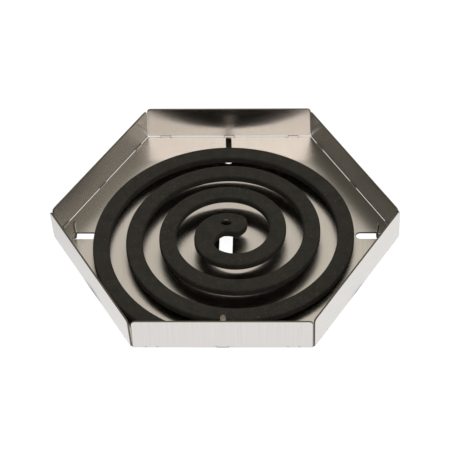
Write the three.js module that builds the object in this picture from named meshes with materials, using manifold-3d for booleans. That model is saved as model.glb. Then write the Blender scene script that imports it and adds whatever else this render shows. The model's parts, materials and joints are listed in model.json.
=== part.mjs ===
// Mosquito coil holder: a hexagonal tray cut from one steel sheet. Its rim folds up on slit
// lines, four stop tabs and a spike are bent out of its floor, and a spiral coil hangs its head
// on the spike while its outer turn lies on the floor. Front is -Y, and the floor's underside
// is at Z = 0 with the origin at its centre.

import * as THREE from 'three';
import { mergeVertices } from 'three/addons/utils/BufferGeometryUtils.js';
import Module from 'manifold-3d';

const wasm = await Module();
wasm.setup();

// Sheet and clearances, millimetres
const sheetThickness = 0.8;
const seatGap = 0.3;
const cutOverrun = 2;

// Walls of the tray
const traySides = 6;
const wallHeight = 17.5;
const wallEndInset = 0.7;
const wallCornerRadius = 1.8;

// Fold lines: slits that leave narrow bridges of sheet, one in the middle and one near each end.
// Each slit runs from the floor's edge to the wall's edge, both measured from the fold line.
const slitFloorSide = 0.45;
const slitWallSide = 0.6;
const bridgeWidth = 5;
const endSlitLength = 5.8;

// Direction that each wall faces, and how far it leans out from upright, in degrees
const walls = [
  { name: 'wall_back_right', facing: 30, lean: -2.8 },
  { name: 'wall_back', facing: 90, lean: 2.8 },
  { name: 'wall_back_left', facing: 150, lean: -1 },
  { name: 'wall_front_left', facing: 210, lean: 3.1 },
  { name: 'wall_front', facing: 270, lean: 0.7 },
  { name: 'wall_front_right', facing: 330, lean: -0.4 },
];

// Tongues bent up out of the floor
const bendInnerRadius = 0.5;
const footLength = 0.6;

// Stop tabs, each at the outer end of the slot that it was cut from
const tabWidth = 2.8;
const tabHeight = 9.4;
const tabTipRadius = 0.9;
const tabKerf = 0.7;
const tabSlotLength = 10.1;
const sideTabInset = 10.5;
const endTabInset = 10.6;
const tabCoilClearance = 0.76;
const sideTabAngle = 93;
const endTabAngle = 90;

// Spike at the tray's centre, with shoulders that carry the coil's head
const spikeRootWidth = 4.7;
const spikeTipWidth = 3.1;
const spikeShoulderHeight = 5.4;
const spikeHeight = 11.3;
const spikeTipRadius = 1.2;
const spikeKerf = 0.7;
const spikeHoleLength = 12.3;
const spikeHoleCornerRadius = 0.8;
const spikeAngle = 90;

// Coil: a band pressed into a flat spiral that widens counter-clockwise, seen from above
const coilCentreX = 2.9;
const coilCentreY = -5.2;
const coilPitch = 15.33;
const coilBandWidth = 7.7;
const coilThickness = 3.8;
const coilEdgeChamfer = 0.8;
const coilInnerRadius = 16.55;
const coilStartAngle = 240;
const coilFrontAngle = 990;
const coilEndAngle = 1326;
const sagStartAngle = 600;
const sagEndAngle = 1110;
const tiltAngle = 0.8;
const coilWallClearance = 1;

// Coil head: the band widens into a rounded end round the hole for the spike
const headX = 3.8;
const headY = 0;
const headAngle = -21;
const headWidth = 12.2;
const headLead = 11.2;
const headTrail = 11.9;
const headWideShare = 0.71;
const headCapAngle = 72;
const headHoleEndPlay = 1.7;
const headHoleSidePlay = 1.8;
const headHoleX = 0.15;
const headHoleY = -0.15;

// Facet counts
const curveSteps = 5;
const holeSides = 24;
const coilStepsPerTurn = 40;
const headSteps = 14;
const headCapSteps = 5;

// Places worked out from the sizes above
const deg = Math.PI / 180;
const quarterTurn = Math.PI / 2;
const halfSheet = sheetThickness / 2;
const halfBand = coilBandWidth / 2;
const headHoleLength = spikeTipWidth + headHoleEndPlay;
const headHoleWidth = sheetThickness + headHoleSidePlay;
const bendCentre = bendInnerRadius + halfSheet;
const footEnd = bendCentre + footLength;

// The tray fits the coil: the front tab stands just outside the coil, and the front wall clears
// both that tab and the coil's outer end. The other walls stand at the same distance.
const coilFront = spiralReach(coilFrontAngle);
const coilEndReach = spiralReach(coilEndAngle);
const endTabReach = coilFront + tabCoilClearance + halfSheet;
const wallDistance = Math.max(
  endTabReach + endTabInset,
  coilEndReach + coilWallClearance + sheetThickness,
);
const sideAngle = Math.PI / traySides;
const traySide = 2 * wallDistance * Math.tan(sideAngle);
const sideTabReach = wallDistance / Math.cos(sideAngle) - sideTabInset;
const foldDistance = wallDistance - halfSheet;
const wallHalfLength = traySide / 2 - wallEndInset;
const endBridge = wallHalfLength - endSlitLength - bridgeWidth / 2;
const bridges = [-endBridge, 0, endBridge];
const tabs = [
  { name: 'stop_tab_right', facing: 0, reach: sideTabReach, bend: sideTabAngle },
  { name: 'stop_tab_back', facing: 90, reach: endTabReach, bend: endTabAngle },
  { name: 'stop_tab_left', facing: 180, reach: sideTabReach, bend: sideTabAngle },
  { name: 'stop_tab_front', facing: 270, reach: endTabReach, bend: endTabAngle },
];

const steel = { color: 0xb8b0a5, roughness: 0.3, metalness: 1 };
const coilPowder = { color: 0x2e2b27, roughness: 0.95, metalness: 0 };

// Solids for cutting and joining
function solidOf(geometry) {
  const bare = geometry.clone();
  bare.deleteAttribute('normal');
  bare.deleteAttribute('uv');
  const merged = mergeVertices(bare);
  return new wasm.Manifold(new wasm.Mesh({
    numProp: 3,
    vertProperties: new Float32Array(merged.attributes.position.array),
    triVerts: new Uint32Array(merged.index.array),
  }));
}

function geometryOf(solid) {
  const mesh = solid.getMesh();
  const geometry = new THREE.BufferGeometry();
  geometry.setAttribute('position', new THREE.BufferAttribute(mesh.vertProperties, 3));
  geometry.setIndex(new THREE.BufferAttribute(mesh.triVerts, 1));
  geometry.computeVertexNormals();
  return geometry;
}

function extrude(shape, depth) {
  return new THREE.ExtrudeGeometry(shape, { depth, bevelEnabled: false, curveSegments: curveSteps });
}

// An extrusion whose outline stands upright in X and Z, centred on Y = 0
function uprightPlate(shape, depth) {
  return extrude(shape, depth).translate(0, 0, -depth / 2).rotateX(quarterTurn);
}

// An extrusion whose profile lies in Y and Z, centred on X = 0
function sideProfile(shape, width) {
  const profile = extrude(shape, width).translate(0, 0, -width / 2);
  return profile.rotateX(quarterTurn).rotateZ(quarterTurn);
}

// Floor: a hexagon that stops at the slits and reaches out to each bridge
function sidePoint(facing, along, outward) {
  const angle = facing * deg;
  return new THREE.Vector2(
    outward * Math.cos(angle) - along * Math.sin(angle),
    outward * Math.sin(angle) + along * Math.cos(angle),
  );
}

function floorOutline() {
  const edge = foldDistance - slitFloorSide;
  const bridgeEnd = foldDistance - halfSheet - seatGap;
  const points = [];
  for (const wall of walls) {
    points.push(sidePoint(wall.facing, -edge * Math.tan(sideAngle), edge));
    for (const bridge of bridges) {
      const from = bridge - bridgeWidth / 2;
      const to = bridge + bridgeWidth / 2;
      points.push(sidePoint(wall.facing, from, edge));
      points.push(sidePoint(wall.facing, from, bridgeEnd));
      points.push(sidePoint(wall.facing, to, bridgeEnd));
      points.push(sidePoint(wall.facing, to, edge));
    }
  }
  return new THREE.Shape(points);
}

// Slot that a stop tab leaves behind, with a full round at its inner end
function tabSlot(tab) {
  const half = tabWidth / 2 + tabKerf;
  const inner = tab.reach - tabSlotLength;
  const path = new THREE.Path();
  path.moveTo(half, tab.reach + footEnd + seatGap);
  path.lineTo(-half, tab.reach + footEnd + seatGap);
  path.lineTo(-half, inner + half);
  path.absarc(0, inner + half, half, Math.PI, 2 * Math.PI, false);
  path.closePath();
  return path.getPoints(curveSteps * 2).map((p) => sidePoint(tab.facing, -p.x, p.y));
}

// Hole in front of the spike, with small rounds at its front corners
function spikeHole() {
  const half = spikeRootWidth / 2 + spikeKerf;
  const radius = spikeHoleCornerRadius;
  const path = new THREE.Path();
  path.moveTo(half, footEnd + seatGap);
  path.lineTo(-half, footEnd + seatGap);
  path.lineTo(-half, radius - spikeHoleLength);
  path.absarc(radius - half, radius - spikeHoleLength, radius, Math.PI, -quarterTurn, false);
  path.absarc(half - radius, radius - spikeHoleLength, radius, -quarterTurn, 0, false);
  path.closePath();
  return path.getPoints(curveSteps);
}

function baseGeometry() {
  const shape = floorOutline();
  for (const tab of tabs) {
    shape.holes.push(new THREE.Path(tabSlot(tab)));
  }
  shape.holes.push(new THREE.Path(spikeHole()));
  return extrude(shape, sheetThickness);
}

// Wall: a strip with rounded top corners that stops at the slit, carried by three bridges.
// Z = 0 is the fold line, in the middle of the sheet.
function wallOutline() {
  const top = wallHeight - halfSheet;
  const radius = wallCornerRadius;
  const shape = new THREE.Shape();
  shape.moveTo(-wallHalfLength, slitWallSide);
  shape.lineTo(wallHalfLength, slitWallSide);
  shape.lineTo(wallHalfLength, top - radius);
  shape.absarc(wallHalfLength - radius, top - radius, radius, 0, quarterTurn, false);
  shape.lineTo(radius - wallHalfLength, top);
  shape.absarc(radius - wallHalfLength, top - radius, radius, quarterTurn, Math.PI, false);
  shape.closePath();
  return shape;
}

// Bridge seen from its end: straight sides over a round that turns on the fold line
function bridgeProfile() {
  const shape = new THREE.Shape();
  shape.moveTo(halfSheet, 0);
  shape.lineTo(halfSheet, slitWallSide + halfSheet);
  shape.lineTo(-halfSheet, slitWallSide + halfSheet);
  shape.lineTo(-halfSheet, 0);
  shape.absarc(0, 0, halfSheet, Math.PI, 2 * Math.PI, false);
  return shape;
}

function wallGeometry() {
  let solid = solidOf(uprightPlate(wallOutline(), sheetThickness));
  for (const bridge of bridges) {
    solid = solid.add(solidOf(sideProfile(bridgeProfile(), bridgeWidth).translate(bridge, 0, 0)));
  }
  return geometryOf(solid);
}

// Tongue seen from its side: a foot in the floor, the bend, and the upright part. Y runs from
// the upright part, at 0, out along the foot.
function bendProfile(height, bend) {
  const turn = bend * deg;
  const start = -quarterTurn;
  const outerRadius = bendInnerRadius + sheetThickness;
  const centreHeight = outerRadius;
  const length = (height - centreHeight + outerRadius * Math.cos(turn)) / Math.sin(turn);
  const rise = new THREE.Vector2(-Math.cos(turn), Math.sin(turn)).multiplyScalar(length);
  const faceX = bendCentre - outerRadius * Math.sin(turn);
  const faceY = centreHeight - outerRadius * Math.cos(turn);
  const backX = bendCentre - bendInnerRadius * Math.sin(turn);
  const backY = centreHeight - bendInnerRadius * Math.cos(turn);
  const shape = new THREE.Shape();
  shape.moveTo(footEnd, 0);
  shape.lineTo(bendCentre, 0);
  shape.absarc(bendCentre, centreHeight, outerRadius, start, start - turn, true);
  shape.lineTo(faceX + rise.x, faceY + rise.y);
  shape.lineTo(backX + rise.x, backY + rise.y);
  shape.lineTo(backX, backY);
  shape.absarc(bendCentre, centreHeight, bendInnerRadius, start - turn, start, false);
  shape.lineTo(footEnd, sheetThickness);
  shape.closePath();
  return shape;
}

function tipArcs(shape, halfWidth, height, radius) {
  shape.lineTo(halfWidth, height - radius);
  shape.absarc(halfWidth - radius, height - radius, radius, 0, quarterTurn, false);
  shape.lineTo(radius - halfWidth, height);
  shape.absarc(radius - halfWidth, height - radius, radius, quarterTurn, Math.PI, false);
}

function tabOutline() {
  const half = tabWidth / 2;
  const shape = new THREE.Shape();
  shape.moveTo(-half, -cutOverrun);
  shape.lineTo(half, -cutOverrun);
  tipArcs(shape, half, tabHeight, tabTipRadius);
  shape.closePath();
  return shape;
}

function spikeOutline() {
  const root = spikeRootWidth / 2;
  const tip = spikeTipWidth / 2;
  const shape = new THREE.Shape();
  shape.moveTo(-root, -cutOverrun);
  shape.lineTo(root, -cutOverrun);
  shape.lineTo(root, spikeShoulderHeight);
  shape.lineTo(tip, spikeShoulderHeight);
  tipArcs(shape, tip, spikeHeight, spikeTipRadius);
  shape.lineTo(-tip, spikeShoulderHeight);
  shape.lineTo(-root, spikeShoulderHeight);
  shape.closePath();
  return shape;
}

// A bent strip trimmed to the tongue's outline
function tongueGeometry(outline, width, height, bend) {
  const strip = sideProfile(bendProfile(height + cutOverrun, bend), width + cutOverrun);
  const trim = uprightPlate(outline, (footEnd + cutOverrun) * 2);
  return geometryOf(solidOf(strip).intersect(solidOf(trim)));
}

// Coil
function ease(share) {
  const t = THREE.MathUtils.clamp(share, 0, 1);
  return t * t * (3 - 2 * t);
}

function spiralRadius(degrees) {
  return coilInnerRadius + coilPitch * (degrees - coilStartAngle) / 360;
}

function spiralPoint(degrees) {
  const radius = spiralRadius(degrees);
  return new THREE.Vector2(
    coilCentreX + radius * Math.cos(degrees * deg),
    coilCentreY + radius * Math.sin(degrees * deg),
  );
}

// How far the band's outer edge comes forward of the tray's centre at that angle
function spiralReach(degrees) {
  return -coilCentreY - (spiralRadius(degrees) + halfBand) * Math.sin(degrees * deg);
}

// Direction along the spiral, towards its outer end
function spiralHeading(degrees) {
  const growth = coilPitch / (2 * Math.PI);
  const outward = new THREE.Vector2(Math.cos(degrees * deg), Math.sin(degrees * deg));
  const around = new THREE.Vector2(-outward.y, outward.x);
  return outward.multiplyScalar(growth).add(around.multiplyScalar(spiralRadius(degrees))).normalize();
}

// Underside of the coil: on the spike's shoulders at the head, sagging to the floor at the end,
// and tilted about the spike so that the back is a little higher than the front
function coilUnderside(degrees, y) {
  const slope = Math.tan(tiltAngle * deg);
  const headRest = spikeShoulderHeight + seatGap;
  const endRest = sheetThickness + seatGap;
  const outerRest = endRest - spiralPoint(coilEndAngle).y * slope;
  const sag = ease((degrees - sagStartAngle) / (sagEndAngle - sagStartAngle));
  return THREE.MathUtils.lerp(headRest, outerRest, sag) + y * slope;
}

// Stations along the band: place, heading, half width and height of the underside
function coilStations() {
  const stations = [];
  const headEnd = new THREE.Vector2(headX, headY);
  const facing = new THREE.Vector2(Math.cos(headAngle * deg), Math.sin(headAngle * deg));
  const inward = facing.clone().negate();
  const join = spiralPoint(coilStartAngle);
  const joinHeading = spiralHeading(coilStartAngle);
  const halfHead = headWidth / 2;
  const curve = new THREE.CubicBezierCurve(
    headEnd,
    headEnd.clone().addScaledVector(inward, headLead),
    join.clone().addScaledVector(joinHeading, -headTrail),
    join,
  );
  for (let step = headCapSteps; step > 0; step -= 1) {
    const turn = headCapAngle * deg * step / headCapSteps;
    const place = headEnd.clone().addScaledVector(facing, halfHead * Math.sin(turn));
    const under = coilUnderside(coilStartAngle, place.y);
    stations.push({ place, heading: inward, half: halfHead * Math.cos(turn), under });
  }
  for (let step = 0; step < headSteps; step += 1) {
    const share = step / headSteps;
    const place = curve.getPoint(share);
    const half = THREE.MathUtils.lerp(halfBand, halfHead, ease((1 - share) / headWideShare));
    const under = coilUnderside(coilStartAngle, place.y);
    stations.push({ place, heading: curve.getTangent(share), half, under });
  }
  const steps = Math.round((coilEndAngle - coilStartAngle) * coilStepsPerTurn / 360);
  for (let step = 0; step <= steps; step += 1) {
    const degrees = THREE.MathUtils.lerp(coilStartAngle, coilEndAngle, step / steps);
    const place = spiralPoint(degrees);
    const under = coilUnderside(degrees, place.y);
    stations.push({ place, heading: spiralHeading(degrees), half: halfBand, under });
  }
  return stations;
}

// Band section with chamfered edges, across the heading
function coilRing(station) {
  const { place, heading, half, under } = station;
  const trimmed = half - coilEdgeChamfer;
  const low = coilEdgeChamfer;
  const high = coilThickness - coilEdgeChamfer;
  const section = [
    [-half, low], [-trimmed, 0], [trimmed, 0], [half, low],
    [half, high], [trimmed, coilThickness], [-trimmed, coilThickness], [-half, high],
  ];
  return section.map(([across, up]) => new THREE.Vector3(
    place.x + heading.y * across,
    place.y - heading.x * across,
    under + up,
  ));
}

// A closed skin over rings of equal count, with a fan on each end
function loft(rings) {
  const count = rings[0].length;
  const last = (rings.length - 1) * count;
  const faces = [];
  for (let ring = 0; ring + 1 < rings.length; ring += 1) {
    for (let point = 0; point < count; point += 1) {
      const near = ring * count + point;
      const side = ring * count + (point + 1) % count;
      faces.push(near, side + count, side);
      faces.push(near, near + count, side + count);
    }
  }
  for (let point = 1; point + 1 < count; point += 1) {
    faces.push(0, point, point + 1);
    faces.push(last, last + point + 1, last + point);
  }
  const geometry = new THREE.BufferGeometry().setFromPoints(rings.flat());
  geometry.setIndex(faces);
  return geometry;
}

// Least distance between points of the band that are half a turn or more apart along it
function leastTurnGap(rings) {
  let least = Infinity;
  for (let one = 0; one < rings.length; one += 1) {
    for (let two = one + coilStepsPerTurn / 2; two < rings.length; two += 1) {
      for (const a of rings[one]) {
        for (const b of rings[two]) {
          least = Math.min(least, a.distanceTo(b));
        }
      }
    }
  }
  return least;
}

function coilGeometry() {
  const rings = coilStations().map(coilRing);
  console.log(`coil: least gap between turns ${leastTurnGap(rings).toFixed(2)} mm`);
  const depth = spikeHeight + coilThickness + cutOverrun;
  const hole = new THREE.CylinderGeometry(1, 1, depth, holeSides);
  hole.rotateX(quarterTurn).scale(headHoleLength / 2, headHoleWidth / 2, 1);
  hole.translate(headHoleX, headHoleY, spikeShoulderHeight);
  return geometryOf(solidOf(loft(rings)).subtract(solidOf(hole)));
}

// Assembly
function piece(name, geometry, finish) {
  const mesh = new THREE.Mesh(geometry, new THREE.MeshStandardMaterial(finish));
  mesh.name = name;
  return mesh;
}

// A group whose +Y axis points outward at the given distance from the tray's centre
function placeFacing(facing, distance, height, mesh) {
  const group = new THREE.Group();
  const place = sidePoint(facing, 0, distance);
  group.position.set(place.x, place.y, height);
  group.rotation.z = facing * deg - quarterTurn;
  group.add(mesh);
  return group;
}

const holder = new THREE.Group();
holder.add(piece('base_plate', baseGeometry(), steel));
for (const wall of walls) {
  const mesh = piece(wall.name, wallGeometry(), steel);
  mesh.rotation.x = -wall.lean * deg;
  holder.add(placeFacing(wall.facing, foldDistance, halfSheet, mesh));
}
for (const tab of tabs) {
  const geometry = tongueGeometry(tabOutline(), tabWidth, tabHeight, tab.bend);
  holder.add(placeFacing(tab.facing, tab.reach, 0, piece(tab.name, geometry, steel)));
}
const spikeGeometry = tongueGeometry(spikeOutline(), spikeRootWidth, spikeHeight, spikeAngle);
holder.add(piece('coil_spike', spikeGeometry, steel));
holder.add(piece('mosquito_coil', coilGeometry(), coilPowder));

export default holder;
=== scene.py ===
"""Looks of a mosquito coil holder, built round its packed frame.

The hexagonal tray is cut flat from brushed stainless sheet and folded: six walls turn up along
slit lines, and four stop tabs and a spike are bent out of the floor. A pressed spiral coil hangs
its head on the spike. Metres, +Z up, front at -Y, underside of the floor at Z = 0.
"""

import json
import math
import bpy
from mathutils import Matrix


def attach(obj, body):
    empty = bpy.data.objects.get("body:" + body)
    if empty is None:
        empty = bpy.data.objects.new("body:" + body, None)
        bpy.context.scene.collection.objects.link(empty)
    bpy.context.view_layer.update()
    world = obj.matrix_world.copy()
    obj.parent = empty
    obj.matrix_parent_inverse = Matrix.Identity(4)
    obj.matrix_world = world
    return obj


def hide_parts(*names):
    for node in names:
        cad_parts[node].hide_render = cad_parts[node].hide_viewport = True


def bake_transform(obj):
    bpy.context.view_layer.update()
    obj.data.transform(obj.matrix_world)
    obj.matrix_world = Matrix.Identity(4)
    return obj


bl_info = {
    "name": "Mosquito Coil Holder",
    "version": (1, 0, 0),
    "blender": (4, 5, 0),
    "location": "3D View > Sidebar > Coil Holder",
    "description": "Builds a folded steel mosquito coil holder with its coil",
    "category": "Object",
}

import bmesh
import bpy
from bpy.props import FloatProperty, FloatVectorProperty, IntProperty, PointerProperty
from mathutils import Matrix, Vector, noise

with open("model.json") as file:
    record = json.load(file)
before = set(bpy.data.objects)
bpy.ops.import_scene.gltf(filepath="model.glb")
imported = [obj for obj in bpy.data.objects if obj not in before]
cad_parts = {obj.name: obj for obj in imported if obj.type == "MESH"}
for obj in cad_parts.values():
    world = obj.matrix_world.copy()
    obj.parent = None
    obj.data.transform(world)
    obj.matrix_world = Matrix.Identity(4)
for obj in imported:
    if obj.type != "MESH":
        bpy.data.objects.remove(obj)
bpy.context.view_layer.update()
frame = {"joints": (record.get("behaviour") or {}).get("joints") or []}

HINGES = {joint["child"]: joint for joint in frame["joints"] if joint["type"] == "hinge"}
TRAY_BODY = "tray"
COIL_BODY = "coil"
BLANK_UV = "blank"
CUT_EDGE = 1  # material index of the cut edges
UP = Vector((0, 0, 1))
NEAR = 1e-6
QUARTER = math.pi / 2
HALF_SIDE = math.tan(math.pi / 6)  # half a hexagon's side, seen from its centre


def length(name, description, default):
    """A size property in metres."""
    return FloatProperty(
        name=name, description=description, default=default, min=0, precision=5,
        unit="LENGTH", subtype="DISTANCE",
    )


def offset(name, description, default):
    """A place in metres, on either side of zero."""
    return FloatProperty(
        name=name, description=description, default=default, precision=5, unit="LENGTH",
        subtype="DISTANCE",
    )


def angle(name, description, degrees):
    """An angle property, given in degrees."""
    return FloatProperty(
        name=name, description=description, default=math.radians(degrees), subtype="ANGLE",
        unit="ROTATION",
    )


def colour(name, description, default):
    """A linear colour property."""
    return FloatVectorProperty(
        name=name, description=description, default=default, size=3, min=0, max=1,
        subtype="COLOR",
    )


def share(name, description, default):
    """A plain number from 0 to 1."""
    return FloatProperty(
        name=name, description=description, default=default, min=0, max=1, subtype="FACTOR",
    )


class SheetSizes(bpy.types.PropertyGroup):
    """The steel sheet and its fold lines."""

    thickness: length("Thickness", "Thickness of the sheet", 0.0008)
    rim_round: length("Rim round", "Rounding of every cut edge", 0.0002)
    wall_height: length("Wall height", "Top of the walls above the table", 0.0175)
    wall_end_inset: length("Wall end inset", "From a corner of the tray to a wall's end", 0.00054)
    wall_corner: length("Wall corner", "Radius of a wall's top corners", 0.0018)
    fold_radius: length("Fold radius", "Inner radius of the folded bridges", 0.0006)
    slit_floor_side: length("Slit, floor side", "From the fold line to the floor's edge", 0.00045)
    slit_wall_side: length("Slit, wall side", "From the fold line to the wall's edge", 0.0006)
    bridge_width: length("Bridge width", "Width of the sheet left between slits", 0.005)
    bridge_root: length("Bridge root", "From the fold line to a bridge's start", 0.0011)
    bridge_kerf: length("Bridge kerf", "Cut that frees a bridge from the wall's edge", 0.0001)
    end_slit: length("End slit", "Length of the open slit at a wall's end", 0.00596)


class TongueSizes(bpy.types.PropertyGroup):
    """Stop tabs and spike, bent up out of the floor."""

    bend_radius: length("Bend radius", "Inner radius of the bend", 0.0005)
    kerf: length("Kerf", "Gap cut beside a tongue", 0.0007)
    relief: length("Relief", "How far the kerf runs past the start of the bend", 0.0006)
    tab_width: length("Tab width", "Width of a stop tab", 0.0028)
    tab_height: length("Tab height", "Top of a stop tab", 0.0094)
    tab_tip: length("Tab tip", "Radius of a stop tab's top corners", 0.0009)
    tab_slot: length("Tab slot", "From a stop tab to the inner end of its slot", 0.0097)
    side_reach: length("Side reach", "From the centre to the left and right tabs", 0.0695)
    end_reach: length("End reach", "From the centre to the front and back tabs", 0.05868)
    side_bend: angle("Side bend", "How far the left and right tabs are bent", 93)
    end_bend: angle("End bend", "How far the front and back tabs are bent", 84)
    spike_root: length("Spike root", "Width of the spike under its shoulders", 0.0047)
    spike_tip: length("Spike tip", "Width of the spike over its shoulders", 0.0031)
    spike_round: length("Spike round", "Radius of the spike's top corners", 0.0012)
    shoulder_height: length("Shoulder height", "Height of the spike's shoulders", 0.0054)
    spike_height: length("Spike height", "Top of the spike", 0.0113)
    spike_hole: length("Spike hole", "From the spike to the front of its hole", 0.0123)
    spike_hole_corner: length("Spike hole corner", "Radius of the hole's front corners", 0.0008)


class CoilSizes(bpy.types.PropertyGroup):
    """The pressed spiral."""

    centre_x: offset("Centre X", "Centre of the spiral, left to right", 0.0029)
    centre_y: offset("Centre Y", "Centre of the spiral, front to back", -0.0052)
    pitch: length("Pitch", "Growth of the radius in one turn", 0.01533)
    band: length("Band", "Width of the band", 0.0077)
    thickness: length("Thickness", "Thickness of the band", 0.0038)
    edge_round: length("Edge round", "Rounding of the band's edges", 0.0009)
    inner_radius: length("Inner radius", "Radius where the spiral starts", 0.01655)
    start: angle("Start", "Angle where the spiral starts", 240)
    end: angle("End", "Angle where the spiral ends", 1326)
    head_width: length("Head width", "Width of the widened head", 0.0122)
    hole_length: length("Hole length", "Length of the hole in the head", 0.0048)
    hole_width: length("Hole width", "Width of the hole in the head", 0.0026)
    columns: IntProperty(
        name="Columns", description="Faces across the flat of the band", default=5, min=2,
    )
    rows: IntProperty(name="Rows", description="Faces along the spiral", default=330, min=60)


class Finishes(bpy.types.PropertyGroup):
    """Colours of the steel and of the coil, linear."""

    steel_bright: colour("Steel, bright", "Bright lines of the grain", (0.72, 0.698, 0.675))
    steel_dull: colour("Steel, dull", "Dull lines of the grain", (0.655, 0.635, 0.612))
    steel_roughness: share("Steel roughness", "Mean roughness of the steel", 0.21)
    # Dull cut metal, partly painted shade: darkened for the shade in the slits and along the rims
    cut_edge_and_shade: colour("Cut edge", "Dull metal of the cut edges", (0.20, 0.18, 0.155))
    coil_dark: colour("Coil, dark", "Darkest tone of the powder", (0.0185, 0.0175, 0.015))
    coil_light: colour("Coil, light", "Lightest tone of the powder", (0.032, 0.0305, 0.0262))
    coil_grit: colour("Coil grit", "Pale grains in the powder", (0.07, 0.066, 0.058))


class StudioSizes(bpy.types.PropertyGroup):
    """Camera, floor and light."""

    distance: length("Distance", "From the tray's centre to the camera", 0.9031)
    elevation: angle("Elevation", "Height of the camera over the horizon", 44.90)
    turn: angle("Turn", "How far the camera stands to the right of the front", 2.62)
    roll: angle("Roll", "Tilt of the camera about its own axis", -1.90)
    lens: FloatProperty(name="Lens", description="Focal length in millimetres", default=156.2)
    floor_size: length("Floor size", "Side of the white floor", 6.0)


GROUPS = {
    "holder_sheet": SheetSizes,
    "holder_tongues": TongueSizes,
    "holder_coil": CoilSizes,
    "holder_finishes": Finishes,
    "holder_studio": StudioSizes,
}


# Materials


# Sockets of a Mix node that mixes colours
COLOUR_A, COLOUR_B, COLOUR_MIXED = 6, 7, 2
# Steel: features per metre across the grain and along it, and depths in metres
HAIRLINES = (5200, 55, 1)
STREAKS = (900, 14, 1)
WAVES = (26, 18, 1)
STREAK_DEPTH = 0.00001
WAVE_DEPTH = 0.00006
GRAIN_RANGE = (0.3, 0.7)
ROUGHNESS_SWING = 0.01
BRUSHED_ANISOTROPY = 0.97
DRAG_MARKS = (1400, 1400, 500)
CUT_EDGE_TONES = (0.8, 1.2)
# Coil: features per metre, and depths in metres
MOTTLE = (260, 260, 260)
POWDER_GRAIN = (2600, 2600, 2600)
GRIT = (1500, 1500, 1500)
MOTTLE_DEPTH = 0.0004
POWDER_DEPTH = 0.00012
TONE_RANGE = (0.35, 0.65)
GRIT_RANGE = (0.755, 0.82)


def node(tree, kind, values=None, **settings):
    """Adds a shader node. A value that is a socket is linked, any other is set."""
    made = tree.nodes.new(kind)
    for name, value in settings.items():
        setattr(made, name, value)
    for name, value in (values or {}).items():
        if isinstance(value, bpy.types.NodeSocket):
            tree.links.new(value, made.inputs[name])
        else:
            made.inputs[name].default_value = value
    return made


def ranged(tree, value, span, to_low=0.0, to_high=1.0, **settings):
    """Turns a value within span into one from to_low to to_high."""
    low, high = span
    return node(
        tree, "ShaderNodeMapRange",
        {"Value": value, "From Min": low, "From Max": high, "To Min": to_low, "To Max": to_high},
        **settings,
    ).outputs[0]


def mixed_value(tree, factor, first, second):
    """A mix of two values."""
    return node(
        tree, "ShaderNodeMix", {"Factor": factor, "A": first, "B": second}, data_type="FLOAT",
    ).outputs[0]


def mixed_colour(tree, factor, first, second, **settings):
    """A mix of two colours, each a socket or red, green and blue."""
    values = {"Factor": factor}
    for socket, tone in ((COLOUR_A, first), (COLOUR_B, second)):
        values[socket] = tone if isinstance(tone, bpy.types.NodeSocket) else (*tone, 1)
    return node(
        tree, "ShaderNodeMix", values, data_type="RGBA", **settings,
    ).outputs[COLOUR_MIXED]


def new_tree(owner):
    """The emptied node tree of a new material or world."""
    owner.use_nodes = True
    owner.node_tree.nodes.clear()
    return owner.node_tree


def new_material(name):
    """A material, its node tree and the Principled shader on its output."""
    material = bpy.data.materials.new(name)
    tree = new_tree(material)
    shader = node(tree, "ShaderNodeBsdfPrincipled")
    node(tree, "ShaderNodeOutputMaterial", {"Surface": shader.outputs[0]})
    return material, tree, shader


def stretched_noise(tree, coordinates, scale, detail=2.0):
    """Noise whose features are 1 / scale metres on each axis."""
    mapping = node(tree, "ShaderNodeMapping", {"Vector": coordinates, "Scale": scale})
    return node(
        tree, "ShaderNodeTexNoise",
        {"Vector": mapping.outputs[0], "Scale": 1.0, "Detail": detail, "Roughness": 0.6},
    ).outputs["Fac"]


def bumped(tree, shader, layers):
    """Lays bumps over each other on the shader. A layer is (height, strength, depth)."""
    normal = {}
    for height, strength, depth in layers:
        bump = node(
            tree, "ShaderNodeBump",
            {"Height": height, "Strength": strength, "Distance": depth, **normal},
        )
        normal = {"Normal": bump.outputs[0]}
    tree.links.new(normal["Normal"], shader.inputs["Normal"])


def brushed_steel(finishes):
    """Stainless sheet, brushed along the blank's Y axis. The grain lies on the flat blank's map,
    so it follows the sheet round every fold."""
    name = "brushed_steel"
    if name in bpy.data.materials:
        return bpy.data.materials[name]
    material, tree, shader = new_material(name)
    blank = node(tree, "ShaderNodeUVMap", uv_map=BLANK_UV).outputs[0]
    streaks = stretched_noise(tree, blank, STREAKS)
    waves = stretched_noise(tree, blank, WAVES, detail=0.0)
    grain = mixed_value(tree, 0.4, stretched_noise(tree, blank, HAIRLINES), streaks)
    tint = mixed_colour(
        tree, ranged(tree, grain, GRAIN_RANGE), finishes.steel_dull, finishes.steel_bright,
    )
    rough = ranged(
        tree, grain, GRAIN_RANGE, finishes.steel_roughness + ROUGHNESS_SWING,
        finishes.steel_roughness - ROUGHNESS_SWING,
    )
    tangent = node(tree, "ShaderNodeTangent", direction_type="UV_MAP", uv_map=BLANK_UV)
    tree.links.new(tint, shader.inputs["Base Color"])
    tree.links.new(rough, shader.inputs["Roughness"])
    tree.links.new(tangent.outputs[0], shader.inputs["Tangent"])
    bumped(tree, shader, ((waves, 1.0, WAVE_DEPTH), (streaks, 0.1, STREAK_DEPTH)))
    shader.inputs["Metallic"].default_value = 1.0
    shader.inputs["Anisotropic"].default_value = BRUSHED_ANISOTROPY
    return material


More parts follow.
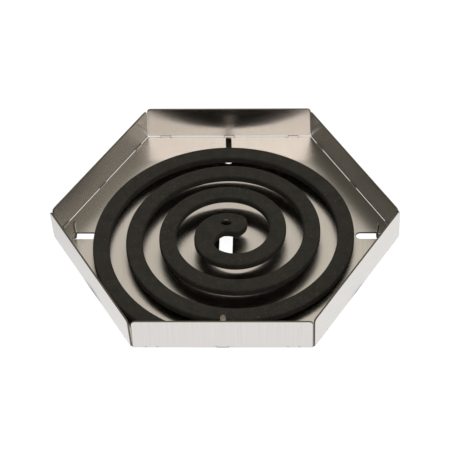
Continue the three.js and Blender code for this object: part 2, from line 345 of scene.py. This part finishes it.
def cut_steel(finishes):
    """The sheet's cut edges: dull metal, and painted darker than its brushed faces, as painted
    shade in the slits and along the rims.
    """
    name = "cut_steel"
    if name in bpy.data.materials:
        return bpy.data.materials[name]
    material, tree, shader = new_material(name)
    place = node(tree, "ShaderNodeTexCoord").outputs["Object"]
    # Painted shade: the edges' tone is darkened for the shade in the slits and along the rims
    tones = [[tone * part for part in finishes.cut_edge_and_shade] for tone in CUT_EDGE_TONES]
    tint = mixed_colour(tree, stretched_noise(tree, place, DRAG_MARKS), *tones)
    tree.links.new(tint, shader.inputs["Base Color"])
    shader.inputs["Metallic"].default_value = 1.0
    shader.inputs["Roughness"].default_value = 0.5
    return material


def sheet_steel(finishes):
    """Materials of a piece of sheet: its faces, then its cut edges."""
    return [brushed_steel(finishes), cut_steel(finishes)]


def pressed_powder(finishes):
    """Charcoal and plant powder, pressed and dried: matt, finely grained, with pale grains."""
    material, tree, shader = new_material("pressed_powder")
    place = node(tree, "ShaderNodeTexCoord").outputs["Object"]
    mottle = stretched_noise(tree, place, MOTTLE, detail=3.0)
    grain = stretched_noise(tree, place, POWDER_GRAIN)
    tone = ranged(tree, mixed_value(tree, 0.5, mottle, grain), TONE_RANGE)
    powder = mixed_colour(tree, tone, finishes.coil_dark, finishes.coil_light)
    grit = ranged(tree, stretched_noise(tree, place, GRIT, detail=0.0), GRIT_RANGE)
    speckled = mixed_colour(tree, grit, powder, finishes.coil_grit)
    tree.links.new(speckled, shader.inputs["Base Color"])
    bumped(tree, shader, ((mottle, 0.5, MOTTLE_DEPTH), (grain, 0.6, POWDER_DEPTH)))
    shader.inputs["Roughness"].default_value = 0.92
    shader.inputs["Specular IOR Level"].default_value = 0.25
    return material


# Sheet metal


SHARP = math.radians(50)  # edges that turn further are rounded
FOLD_STEPS = 8  # small turns in one bend
NEARLY_ROUND = 0.999  # share of half a slot's width, as a full round would close its end


def facing_place(facing, distance, turn):
    """A place on the tray's floor at that distance from the centre, turned about Z."""
    outward = Vector((math.cos(facing), math.sin(facing), 0))
    return Matrix.Translation(outward * distance) @ Matrix.Rotation(facing + turn, 4, "Z")


def flat_outline(bm, points, rounds):
    """A face that looks down, with some corners rounded: rounds is {corner: radius}."""
    corners = [bm.verts.new(point) for point in points]
    face = bm.faces.new(corners)
    face.normal_update()
    if face.normal.z > 0:
        face.normal_flip()
    for corner, radius in rounds.items():
        bmesh.ops.bevel(
            bm, geom=[corners[corner]], offset=radius, offset_type="OFFSET", segments=6,
            profile=0.5, affect="VERTICES", material=-1,
        )


def map_blank(bm):
    """Gives the flat blank its map, in metres, before it is folded."""
    layer = bm.loops.layers.uv.new(BLANK_UV)
    for face in bm.faces:
        for loop in face.loops:
            loop[layer].uv = loop.vert.co.xy


def fold_up(bm, place, travel, radius, bend):
    """Bends the sheet up in small turns, from place towards its +Y side. travel gives how far
    into the bend a point of place lies: 0 if it stays, infinite if it turns the whole way."""
    to_local = place.inverted()
    arc = radius * bend
    lines = [arc * (step + 0.5) / FOLD_STEPS for step in range(FOLD_STEPS)]

    def moving():
        found = {vert: travel(*(to_local @ vert.co).xy) for vert in bm.verts}
        return {vert: way for vert, way in found.items() if way > NEAR}

    for line in lines:
        faces = dict.fromkeys(face for vert in moving() for face in vert.link_faces)
        edges = dict.fromkeys(edge for face in faces for edge in face.edges)
        verts = dict.fromkeys(vert for face in faces for vert in face.verts)
        bmesh.ops.bisect_plane(
            bm, geom=[*verts, *edges, *faces], dist=NEAR / 10,
            plane_co=place @ Vector((0, line, 0)), plane_no=place.to_3x3() @ Vector((0, 1, 0)),
        )
    turned = moving()
    for line in reversed(lines):
        bmesh.ops.rotate(
            bm, cent=place @ Vector((0, line, 0)),
            matrix=Matrix.Rotation(bend / FOLD_STEPS, 3, place.col[0].xyz),
            verts=[vert for vert, way in turned.items() if way > line + NEAR],
        )


def thicken(bm, sheet, is_seam):
    """Gives the underside skin its thickness and rounds its cut edges, except on seams."""
    skin = set(bm.verts)
    bmesh.ops.solidify(bm, geom=bm.faces[:], thickness=sheet.thickness)
    bmesh.ops.recalc_face_normals(bm, faces=bm.faces[:])
    for face in bm.faces:
        joins_skins = len({vert in skin for vert in face.verts}) == 2
        if joins_skins:
            face.material_index = CUT_EDGE
    rims = [
        edge for edge in bm.edges
        if edge.is_manifold and edge.calc_face_angle() > SHARP
        and not all(is_seam(vert.co) for vert in edge.verts)
    ]
    bmesh.ops.bevel(
        bm, geom=rims, offset=sheet.rim_round, offset_type="OFFSET", segments=2, profile=0.5,
        affect="EDGES", material=CUT_EDGE,
    )


def finish_piece(name, bm, materials):
    """Makes the object of a finished bmesh, with its materials."""
    mesh = bpy.data.meshes.new(name)
    bm.to_mesh(mesh)
    bm.free()
    mesh.polygons.foreach_set("use_smooth", [True] * len(mesh.polygons))
    for material in materials:
        mesh.materials.append(material)
    piece = bpy.data.objects.new(name, mesh)
    bpy.context.scene.collection.objects.link(piece)
    return piece


def keep_flats(piece):
    """Weighs normals by area, so that large flats stay flat beside small rounds."""
    weighted = piece.modifiers.new("area_weighted_normals", "WEIGHTED_NORMAL")
    weighted.keep_sharp = True


def fold_line(wall):
    """(facing, distance, lean) of a wall's fold line, from its hinge."""
    joint = HINGES[wall]
    place = Vector(joint["pos_m"]).xy
    lean = math.radians(90 - max(joint["range_deg"]))
    return math.atan2(place.y, place.x), place.length, lean


def bridge_centres(sheet, distance):
    """Half a wall's length, and the places of the bridges along its fold line."""
    half_wall = (distance + sheet.thickness / 2) * HALF_SIDE - sheet.wall_end_inset
    end_bridge = half_wall - sheet.end_slit - sheet.bridge_width / 2
    return half_wall, (-end_bridge, 0, end_bridge)


class HOLDER_OT_floor(bpy.types.Operator):
    """Cut the floor with its slots, and bend the stop tabs and the spike up out of it"""

    bl_idname = "holder.floor"
    bl_label = "Floor, tabs and spike"

    def execute(self, context):
        sheet, sizes = context.scene.holder_sheet, context.scene.holder_tongues
        bm = bmesh.new()
        flat_outline(bm, self.rim(sheet), {})
        tongues = self.tongues(sheet, sizes)
        for tongue in tongues:
            points = [tongue["place"] @ Vector((x, y, 0)) for x, y in tongue["outline"]]
            flat_outline(bm, points, tongue["rounds"])
        bmesh.ops.delete(bm, geom=bm.faces[:], context="FACES_ONLY")
        bmesh.ops.triangle_fill(bm, use_beauty=True, edges=bm.edges[:], normal=-UP)
        bmesh.ops.dissolve_limit(
            bm, angle_limit=0.01, verts=[], edges=bm.edges[:], delimit={"NORMAL"},
        )
        map_blank(bm)
        outer = sizes.bend_radius + sheet.thickness
        for tongue in tongues:
            half, tip = tongue["half"] + NEAR, tongue["tip"] + NEAR
            fold_up(
                bm, tongue["place"], lambda x, y: y if abs(x) < half and y < tip else 0, outer,
                tongue["bend"],
            )
        thicken(bm, sheet, lambda co: self.on_seam(co, sheet))
        steel = sheet_steel(context.scene.holder_finishes)
        piece = finish_piece("tray_floor", bm, steel)
        keep_flats(piece)
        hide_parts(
            "base_plate", "coil_spike", "stop_tab_right", "stop_tab_back", "stop_tab_left",
            "stop_tab_front",
        )
        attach(piece, TRAY_BODY)
        return {"FINISHED"}

    @staticmethod
    def rim(sheet):
        """The floor's outline, with a notch where each bridge is bent up."""
        points = []
        half_bridge = sheet.bridge_width / 2
        for wall in sorted(HINGES, key=lambda name: fold_line(name)[0]):
            facing, fold, _ = fold_line(wall)
            place = facing_place(facing, 0, -QUARTER)
            edge, root = fold - sheet.slit_floor_side, fold - sheet.bridge_root
            outline = [(edge * HALF_SIDE, edge)]
            for centre in reversed(bridge_centres(sheet, fold)[1]):
                near, far = centre + half_bridge, centre - half_bridge
                outline += [(near, edge), (near, root), (far, root), (far, edge)]
            points += [place @ Vector((x, y, 0)) for x, y in outline]
        return points

    @staticmethod
    def on_seam(co, sheet):
        """True where a bridge carries on from the floor."""
        for wall in HINGES:
            facing, fold, _ = fold_line(wall)
            local = facing_place(facing, fold - sheet.bridge_root, -QUARTER).inverted() @ co
            if abs(local.y) < NEAR and abs(local.x) < fold / 2:
                return True
        return False

    @staticmethod
    def tongues(sheet, sizes):
        """Outline of the cut round each tongue, on the sheet's underside. Y runs from the start
        of its bend to its tip."""
        outer = sizes.bend_radius + sheet.thickness
        start = sizes.bend_radius + sheet.thickness / 2
        half, kerf, relief = sizes.tab_width / 2, sizes.kerf, sizes.relief

        def flat_height(height, bend):
            """Where a point of that height lies on the flat sheet."""
            rise = height - outer * (1 - math.cos(bend))
            return outer * bend + rise / math.sin(bend)

        made = []
        wide = half + kerf
        slot = sizes.tab_slot + start
        slot_round = wide * NEARLY_ROUND
        stops = ((sizes.side_reach, sizes.side_bend), (sizes.end_reach, sizes.end_bend))
        for facing in range(4):
            reach, bend = stops[facing % 2]
            tip = flat_height(sizes.tab_height, bend)
            made.append({
                "place": facing_place(facing * QUARTER, reach + start, QUARTER),
                "outline": (
                    (-wide, -relief), (-half, -relief), (-half, tip), (half, tip), (half, -relief),
                    (wide, -relief), (wide, slot), (-wide, slot),
                ),
                "rounds": {2: sizes.tab_tip, 3: sizes.tab_tip, 6: slot_round, 7: slot_round},
                "half": half,
                "tip": tip,
                "bend": bend,
            })
        root, narrow = sizes.spike_root / 2, sizes.spike_tip / 2
        wide = root + kerf
        shoulder = flat_height(sizes.shoulder_height, QUARTER)
        tip = flat_height(sizes.spike_height, QUARTER)
        hole = sizes.spike_hole + start
        made.append({
            "place": facing_place(QUARTER, start, QUARTER),
            "outline": (
                (-wide, -relief), (-root, -relief), (-root, shoulder), (-narrow, shoulder),
                (-narrow, tip), (narrow, tip), (narrow, shoulder), (root, shoulder),
                (root, -relief), (wide, -relief), (wide, hole), (-wide, hole),
            ),
            "rounds": {
                4: sizes.spike_round, 5: sizes.spike_round, 10: sizes.spike_hole_corner,
                11: sizes.spike_hole_corner,
            },
            "half": root,
            "tip": tip,
            "bend": QUARTER,
        })
        return made


class HOLDER_OT_walls(bpy.types.Operator):
    """Fold the six walls up on their bridges, each from its own flat strip"""

    bl_idname = "holder.walls"
    bl_label = "Walls"

    def execute(self, context):
        sheet = context.scene.holder_sheet
        steel = sheet_steel(context.scene.holder_finishes)
        for wall in HINGES:
            self.fold_wall(wall, sheet, steel)
        return {"FINISHED"}

    @staticmethod
    def fold_wall(wall, sheet, steel):
        """One wall with its bridges, which bend between the tray and the wall. It is laid out as
        the sheet's underside, so its bends have the outer radius."""
        facing, distance, lean = fold_line(wall)
        bend = QUARTER - lean
        half_sheet = sheet.thickness / 2
        outer = sheet.fold_radius + sheet.thickness
        tangent = math.tan(bend / 2)
        start = distance + half_sheet * tangent - outer * tangent
        straight = (outer - half_sheet) * tangent
        place = facing_place(facing, start, -QUARTER)
        seam = distance - sheet.bridge_root - start
        arc = outer * bend
        low = arc + sheet.slit_wall_side - straight
        high = arc + sheet.wall_height - half_sheet - straight
        half_wall, bridges = bridge_centres(sheet, distance)
        half_bridge = sheet.bridge_width / 2
        kerf, freed = sheet.bridge_kerf, arc + sheet.bridge_kerf
        outline = [(half_wall, low), (half_wall, high), (-half_wall, high), (-half_wall, low)]
        for centre in bridges:
            near, far = centre - half_bridge, centre + half_bridge
            outline += [
                (near - kerf, low), (near - kerf, freed), (near, freed), (near, seam),
                (far, seam), (far, freed), (far + kerf, freed), (far + kerf, low),
            ]
        bm = bmesh.new()
        points = [place @ Vector((x, y, 0)) for x, y in outline]
        flat_outline(bm, points, {1: sheet.wall_corner, 2: sheet.wall_corner})
        map_blank(bm)

        def travel(x, y):
            on_bridge = any(abs(x - centre) < half_bridge + NEAR for centre in bridges)
            return y if on_bridge else math.inf

        fold_up(bm, place, travel, outer, bend)
        rim = place @ Vector((0, seam, 0))
        outward = place.col[1].xyz
        thicken(bm, sheet, lambda co: abs((co - rim).dot(outward)) < NEAR)
        piece = finish_piece(f"folded_{wall}", bm, steel)
        keep_flats(piece)
        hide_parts(wall)
        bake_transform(piece)


class HOLDER_OT_coil(bpy.types.Operator):
    """Press the spiral coil with its widened, pierced head"""

    bl_idname = "holder.coil"
    bl_label = "Mosquito coil"

    def execute(self, context):
        sizes = context.scene.holder_coil
        stations = coil_stations(sizes)
        bm = bmesh.new()
        drop = bm.verts.layers.float.new("drop")
        height = bm.verts.layers.float.new("height")
        insets = edge_insets(sizes)
        columns = 2 * len(insets) + sizes.columns + 1
        bmesh.ops.create_grid(bm, x_segments=len(stations) - 1, y_segments=columns - 1, size=1)
        lay_band(bm, stations, sizes, insets, columns, drop, height)
        pierce_head(bm, sizes, drop, height)
        press_band(bm, sizes, drop, height)
        material = pressed_powder(context.scene.holder_finishes)
        piece = finish_piece("coil_band", bm, [material])
        smooth = piece.modifiers.new("smooth_band", "SUBSURF")
        smooth.levels = smooth.render_levels = 1
        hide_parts("mosquito_coil")
        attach(piece, COIL_BODY)
        return {"FINISHED"}


# Coil


HEAD_PLACE = Vector((0.0038, 0))
HEAD_FACING = math.radians(-21)
HEAD_HOLE = Vector((0.00015, -0.00015, 0))
HEAD_WIDE_SHARE = 0.71  # how much of the way to the spiral the head takes to narrow
HEAD_LEAD, HEAD_TRAIL = 0.0112, 0.0119  # handles of the curve from the head to the spiral
HEAD_ROWS = 28
CAP_ROWS = 8
# How far the band lies out of the even spiral: (degrees of turn, metres)
DRIFT = (
    (240, 0.0), (360, -0.0008), (450, -0.0002), (540, 0.0), (630, -0.0001), (720, -0.0004),
    (810, 0.0005), (900, 0.0), (990, 0.0002), (1080, -0.0002), (1170, -0.0002), (1326, 0.0),
)
# Heights of the underside at the head and at the end, and the turns between which it sinks
HEAD_REST, END_REST = 0.0056, 0.0011
SAG_START, SAG_END = math.radians(380), math.radians(1240)
TILT_SLOPE = math.tan(math.radians(0.8))  # the coil is higher at the back
EDGE_STEPS = (0, 0.14, 0.5, 1)  # shares of an edge's rounding that have points
HOLE_ROUND = 0.0005
HOLE_STEPS = (1.0, 0.55, 0.15, 0.0)  # rings round the hole, as shares of its rounding
UNEVEN_HEIGHT = 0.00004
UNEVEN_SCALE = 220  # lumps per metre


def ease(value):
    """Smooth step from 0 to 1."""
    value = min(max(value, 0.0), 1.0)
    return value * value * (3 - 2 * value)


def drift(turn):
    """How far the band lies out of the even spiral at that turn."""
    at = math.degrees(turn)
    for (start, before), (end, after) in zip(DRIFT, DRIFT[1:]):
        if start <= at <= end:
            return before + (after - before) * ease((at - start) / (end - start))
    return 0.0


def spiral_radius(sizes, turn):
    """From the spiral's centre to the middle of the band."""
    return sizes.inner_radius + sizes.pitch * (turn - sizes.start) / math.tau + drift(turn)


def spiral_point(sizes, turn):
    """The middle of the band at that turn."""
    radius = spiral_radius(sizes, turn)
    return Vector((
        sizes.centre_x + radius * math.cos(turn), sizes.centre_y + radius * math.sin(turn),
    ))


def spiral_heading(sizes, turn):
    """The way the band runs at that turn."""
    outward = Vector((math.cos(turn), math.sin(turn)))
    around = Vector((-outward.y, outward.x))
    return (outward * sizes.pitch / math.tau + around * spiral_radius(sizes, turn)).normalized()


def coil_underside(sizes, turn, y):
    """Height of the band's underside. It starts on the spike's shoulders, sags and ends on the
    floor, and the whole coil is a little higher at the back."""
    outer_rest = END_REST - spiral_point(sizes, sizes.end).y * TILT_SLOPE
    sag = ease((turn - SAG_START) / (SAG_END - SAG_START))
    return HEAD_REST + (outer_rest - HEAD_REST) * sag + y * TILT_SLOPE


def bezier(points, share_along):
    """Point and direction on a cubic curve."""
    a, b, c, d = points
    s, r = share_along, 1 - share_along
    point = a * r**3 + b * 3 * r * r * s + c * 3 * r * s * s + d * s**3
    slope = (b - a) * r * r + (c - b) * 2 * r * s + (d - c) * s * s
    return point, slope.normalized()


def coil_stations(sizes):
    """Rows of the band from the head's rounded end to the outer end. Each has its place, heading,
    half width, turn and how far round the head's cap it lies, from 0 to 1."""
    rows = []

    def station(place, heading, half, turn=sizes.start, cap=0):
        rows.append({"place": place, "heading": heading, "half": half, "turn": turn, "cap": cap})

    facing = Vector((math.cos(HEAD_FACING), math.sin(HEAD_FACING)))
    half_head, half_band = sizes.head_width / 2, sizes.band / 2
    caps = [1 - inset / half_head for inset in edge_insets(sizes)]
    inner = caps[-1]
    caps += [inner * (CAP_ROWS - row) / CAP_ROWS for row in range(1, CAP_ROWS)]
    for cap in caps:
        station(HEAD_PLACE, -facing, half_head, cap=cap)
    join = spiral_point(sizes, sizes.start)
    curve = (
        HEAD_PLACE, HEAD_PLACE - facing * HEAD_LEAD,
        join - spiral_heading(sizes, sizes.start) * HEAD_TRAIL, join,
    )
    for row in range(HEAD_ROWS):
        along = row / HEAD_ROWS
        widening = ease((1 - along) / HEAD_WIDE_SHARE)
        station(*bezier(curve, along), half_band + (half_head - half_band) * widening)
    for row in range(sizes.rows + 1):
        turn = sizes.start + (sizes.end - sizes.start) * row / sizes.rows
        station(spiral_point(sizes, turn), spiral_heading(sizes, turn), half_band, turn)
    return rows


def edge_insets(sizes):
    """How far in from the band's edge its rounding has points."""
    return [sizes.edge_round * step for step in EDGE_STEPS]


def rounded_drop(inset, radius):
    """How far a rounded edge lies under the flat, that far in from the edge."""
    return radius - math.sqrt(max(radius**2 - (radius - min(inset, radius)) ** 2, 0))


def lay_band(bm, stations, sizes, insets, columns, drop, height):
    """Lays a flat grid along the stations and notes how far each point lies under the flat."""
    grid = sorted(bm.verts, key=lambda vert: (round(vert.co.x, 5), round(vert.co.y, 5)))
    last = len(stations) - 1
    middle = (columns - 1) / 2
    for index, vert in enumerate(grid):
        row, column = divmod(index, columns)
        station = stations[row]
        half, reach = station["half"], station["cap"]
        from_edge = min(column, columns - 1 - column)
        if from_edge < len(insets):
            inset = insets[from_edge]
        else:
            flat = half - sizes.edge_round
            inset = half - flat * abs(column - middle) / (middle - len(insets) + 1)
        side = 1 if column > middle else -1
        across = side * (1 - inset / half) if inset < half else 0
        # The cap's rows and columns lie on a square that is rounded to a disc.
        along = reach * math.sqrt(1 - across**2 / 2) * half
        across *= math.sqrt(1 - reach**2 / 2) * half
        end_inset = (1 - reach) * half if row < len(insets) else (last - row) * sizes.edge_round
        heading = station["heading"]
        place = station["place"] - heading * along
        place += Vector((heading.y, -heading.x)) * across
        vert.co = (place.x, place.y, 0)
        vert[drop] = rounded_drop(min(inset, end_inset), sizes.edge_round)
        vert[height] = coil_underside(sizes, station["turn"], place.y) + sizes.thickness / 2


def pierce_head(bm, sizes, drop, height):
    """Opens the oblong hole in the head and rounds its edge."""
    half_length, half_width = sizes.hole_length / 2, sizes.hole_width / 2

    def spread(vert):
        """1 on an oval that leaves room for the rounding outside the hole."""
        away = vert.co - HEAD_HOLE
        room = HOLE_ROUND * 2
        return math.hypot(away.x / (half_length + room), away.y / (half_width + room))

    gone = [face for face in bm.faces if any(spread(vert) < 1 for vert in face.verts)]
    freed = dict.fromkeys(edge for face in gone for edge in face.edges)
    bmesh.ops.delete(bm, geom=gone, context="FACES")
    edges = [edge for edge in freed if edge.is_valid]
    lift = coil_underside(sizes, sizes.start, HEAD_HOLE.y) + sizes.thickness / 2
    for step in HOLE_STEPS:
        inset = HOLE_ROUND * step
        grown = bmesh.ops.extrude_edge_only(bm, edges=edges)["geom"]
        ring = [item for item in grown if isinstance(item, bmesh.types.BMVert)]
        edges = [
            item for item in grown
            if isinstance(item, bmesh.types.BMEdge) and all(vert in ring for vert in item.verts)
        ]
        ring.sort(key=lambda vert: math.atan2(
            (vert.co.y - HEAD_HOLE.y) / half_width, (vert.co.x - HEAD_HOLE.x) / half_length,
        ))
        for index, vert in enumerate(ring):
            around = math.tau * (index + 0.5) / len(ring) - math.pi
            vert.co = HEAD_HOLE + Vector((
                math.cos(around) * (half_length + inset),
                math.sin(around) * (half_width + inset), 0,
            ))
            vert[height] = lift
            vert[drop] = rounded_drop(inset, HOLE_ROUND)


def press_band(bm, sizes, drop, height):
    """Gives the flat band its thickness, its rounded edges, its sag and a slight unevenness."""
    bmesh.ops.recalc_face_normals(bm, faces=bm.faces[:])
    if bm.faces[0].normal.z < 0:
        bmesh.ops.reverse_faces(bm, faces=bm.faces[:])
    grown = bmesh.ops.extrude_face_region(bm, geom=bm.faces[:])["geom"]
    upper = {item for item in grown if isinstance(item, bmesh.types.BMVert)}
    half = sizes.thickness / 2
    for vert in bm.verts:
        side = 1 if vert in upper else -1
        lump = noise.noise(Vector((vert.co.x, vert.co.y, side)) * UNEVEN_SCALE)
        vert.co.z = vert[height] + side * (half - vert[drop]) + UNEVEN_HEIGHT * lump
    bmesh.ops.recalc_face_normals(bm, faces=bm.faces[:])


# Studio


# Light from all round, and lobes of light: (towards, cosines where it starts and is full, light)
AMBIENT = (0.125, 0.117, 0.092)
LOBES = (
    ((0.22, -0.57, 0.79), (0.82, 0.97), (2.0, 1.84, 1.72)),
    ((0.08, 0.64, 0.765), (0.78, 0.97), (0.63, 0.585, 0.525)),
    ((0.62, 0.4, 0.67), (0.7, 0.97), (0.13, 0.12, 0.105)),
)
FLOOR_DROP = 0.00005
# Painted light: the floor's glow as the steel mirrors it, dimmer to the left
SHEEN_SPAN, SHEEN_LEVELS = (-0.11, -0.04), (0.78, 1.04)  # the floor in the steel, along X
# Painted shade: inside this radius the steel mirrors a dark ground, for the tray's shade
PAINTED_SHADE_END = (0.0697, 0.0703)  # where the dark ground under the tray ends
LAMP_PLACE = (0.0, 0.25, 1.2)
LAMP_SIZE = 1.0
LAMP_POWER = 7.0
SENSOR_WIDTH = 36
FRAME_SHIFT = (-0.0029, 0.0264)
CLIP_RANGE = (0.05, 20)


def plain(value):
    """A grey of that value."""
    return (value, value, value, 1)


def chosen(tree, factor, first, second):
    """The first shader where the factor is 0, and the second where it is 1."""
    return node(
        tree, "ShaderNodeMixShader", {0: factor, 1: first.outputs[0], 2: second.outputs[0]},
    )


def studio_world():
    """White for the camera. What lights the object and shows in the steel is a soft studio:
    bright in front and above, dimmer behind, dark at the sides."""
    world = bpy.data.worlds.new("soft_studio")
    bpy.context.scene.world = world
    tree = new_tree(world)
    direction = node(tree, "ShaderNodeTexCoord").outputs["Generated"]
    total = node(tree, "ShaderNodeRGB").outputs[0]
    total.default_value = (*AMBIENT, 1)
    for towards, cosines, light in LOBES:
        facing = node(
            tree, "ShaderNodeVectorMath", {0: direction, 1: towards}, operation="DOT_PRODUCT",
        ).outputs["Value"]
        spread = ranged(tree, facing, cosines, interpolation_type="SMOOTHSTEP")
        total = mixed_colour(tree, spread, total, light, blend_type="ADD")
    studio = node(tree, "ShaderNodeBackground", {"Color": total})
    white = node(tree, "ShaderNodeBackground", {"Color": plain(1)})
    path = node(tree, "ShaderNodeLightPath").outputs
    seen = node(
        tree, "ShaderNodeMath", {0: path["Is Camera Ray"], 1: path["Is Transmission Ray"]},
        operation="MAXIMUM",
    ).outputs[0]
    either = chosen(tree, seen, studio, white)
    node(tree, "ShaderNodeOutputWorld", {"Surface": either.outputs[0]})


def floor_material():
    """White for the camera, with the object's shadow. The steel mirrors it as a painted glow, a
    little darker on the left, and as painted shade, dark under the tray, where little light comes."""
    material = bpy.data.materials.new("white_floor")
    tree = new_tree(material)
    path = node(tree, "ShaderNodeLightPath").outputs
    place = node(tree, "ShaderNodeTexCoord").outputs["Object"]
    aside = node(tree, "ShaderNodeSeparateXYZ", {0: place}).outputs["X"]
    level = ranged(tree, aside, SHEEN_SPAN, *SHEEN_LEVELS)
    away = node(tree, "ShaderNodeVectorMath", {0: place}, operation="LENGTH").outputs["Value"]
    clear = ranged(tree, away, PAINTED_SHADE_END)
    # Painted shade: the dark ground under the tray, seen only in the steel
    under = node(tree, "ShaderNodeBsdfDiffuse", {"Color": plain(0.05)})
    # Painted light: the floor's glow in the steel, graded from left to right
    sheen = node(tree, "ShaderNodeEmission", {"Color": plain(1), "Strength": level})
    matt = node(tree, "ShaderNodeBsdfDiffuse", {"Color": plain(0.9)})
    unseen = chosen(tree, path["Is Glossy Ray"], matt, chosen(tree, clear, under, sheen))
    faint = node(tree, "ShaderNodeBsdfDiffuse", {"Color": plain(0.12)})
    glow = node(tree, "ShaderNodeEmission", {"Color": plain(0.95)})
    bright = node(tree, "ShaderNodeAddShader", {0: faint.outputs[0], 1: glow.outputs[0]})
    surface = chosen(tree, path["Is Camera Ray"], unseen, bright)
    node(tree, "ShaderNodeOutputMaterial", {"Surface": surface.outputs[0]})
    return material


def white_floor(size):
    """The floor, just under the tray."""
    bm = bmesh.new()
    bmesh.ops.create_grid(bm, x_segments=1, y_segments=1, size=size / 2)
    bmesh.ops.translate(bm, verts=bm.verts[:], vec=(0, 0, -FLOOR_DROP))
    mesh = bpy.data.meshes.new("studio_floor")
    bm.to_mesh(mesh)
    bm.free()
    mesh.materials.append(floor_material())
    floor = bpy.data.objects.new("studio_floor", mesh)
    bpy.context.scene.collection.objects.link(floor)


def soft_lamp(name, place, size, power):
    """A large square lamp aimed at the tray. It isn't seen in the steel."""
    data = bpy.data.lights.new(name, "AREA")
    data.shape = "SQUARE"
    data.size = size
    data.energy = power
    lamp = bpy.data.objects.new(name, data)
    bpy.context.scene.collection.objects.link(lamp)
    lamp.location = place
    lamp.rotation_euler = (-Vector(place)).to_track_quat("-Z", "Y").to_euler()
    lamp.visible_glossy = False
    lamp.visible_camera = False


def place_camera(studio):
    """The photograph's viewpoint, aimed at the tray's centre."""
    data = bpy.data.cameras.new("camera")
    data.lens = studio.lens
    data.sensor_width = SENSOR_WIDTH
    data.shift_x, data.shift_y = FRAME_SHIFT
    data.clip_start, data.clip_end = CLIP_RANGE
    back = Vector((
        math.sin(studio.turn) * math.cos(studio.elevation),
        -math.cos(studio.turn) * math.cos(studio.elevation),
        math.sin(studio.elevation),
    ))
    right = (-back).cross(UP).normalized()
    above = right.cross(-back)
    tilt = Matrix.Rotation(studio.roll, 3, back)
    axes = Matrix((tilt @ right, tilt @ above, back)).transposed()
    camera = bpy.data.objects.new("camera", data)
    camera.matrix_world = Matrix.Translation(back * studio.distance) @ axes.to_4x4()
    bpy.context.scene.collection.objects.link(camera)
    bpy.context.scene.camera = camera


class HOLDER_OT_studio(bpy.types.Operator):
    """Set up the camera, the white floor and the soft light"""

    bl_idname = "holder.studio"
    bl_label = "Studio"

    def execute(self, context):
        studio = context.scene.holder_studio
        context.scene.view_settings.view_transform = "Standard"
        place_camera(studio)
        studio_world()
        white_floor(studio.floor_size)
        soft_lamp("overhead_softbox", LAMP_PLACE, LAMP_SIZE, LAMP_POWER)
        return {"FINISHED"}


class HOLDER_PT_panel(bpy.types.Panel):
    """Sizes, finishes and the buttons that build each piece"""

    bl_label = "Mosquito Coil Holder"
    bl_space_type = "VIEW_3D"
    bl_region_type = "UI"
    bl_category = "Coil Holder"

    def draw(self, context):
        for operator in OPERATORS:
            self.layout.operator(operator.bl_idname)
        for name, group in GROUPS.items():
            box = self.layout.box()
            box.label(text=group.__doc__)
            for prop in group.__annotations__:
                box.prop(getattr(context.scene, name), prop)


OPERATORS = (HOLDER_OT_studio, HOLDER_OT_floor, HOLDER_OT_walls, HOLDER_OT_coil)
CLASSES = (*GROUPS.values(), *OPERATORS, HOLDER_PT_panel)


def register():
    """Registers the classes and gives the scene its settings."""
    for cls in CLASSES:
        bpy.utils.register_class(cls)
    for name, group in GROUPS.items():
        setattr(bpy.types.Scene, name, PointerProperty(type=group))


def unregister():
    """Takes the settings and the classes away again."""
    for name in GROUPS:
        delattr(bpy.types.Scene, name)
    for cls in reversed(CLASSES):
        bpy.utils.unregister_class(cls)


def main():
    """Builds everything."""
    register()
    bpy.ops.holder.studio()
    bpy.ops.holder.floor()
    bpy.ops.holder.walls()
    bpy.ops.holder.coil()


if __name__ == "__main__":
    main()
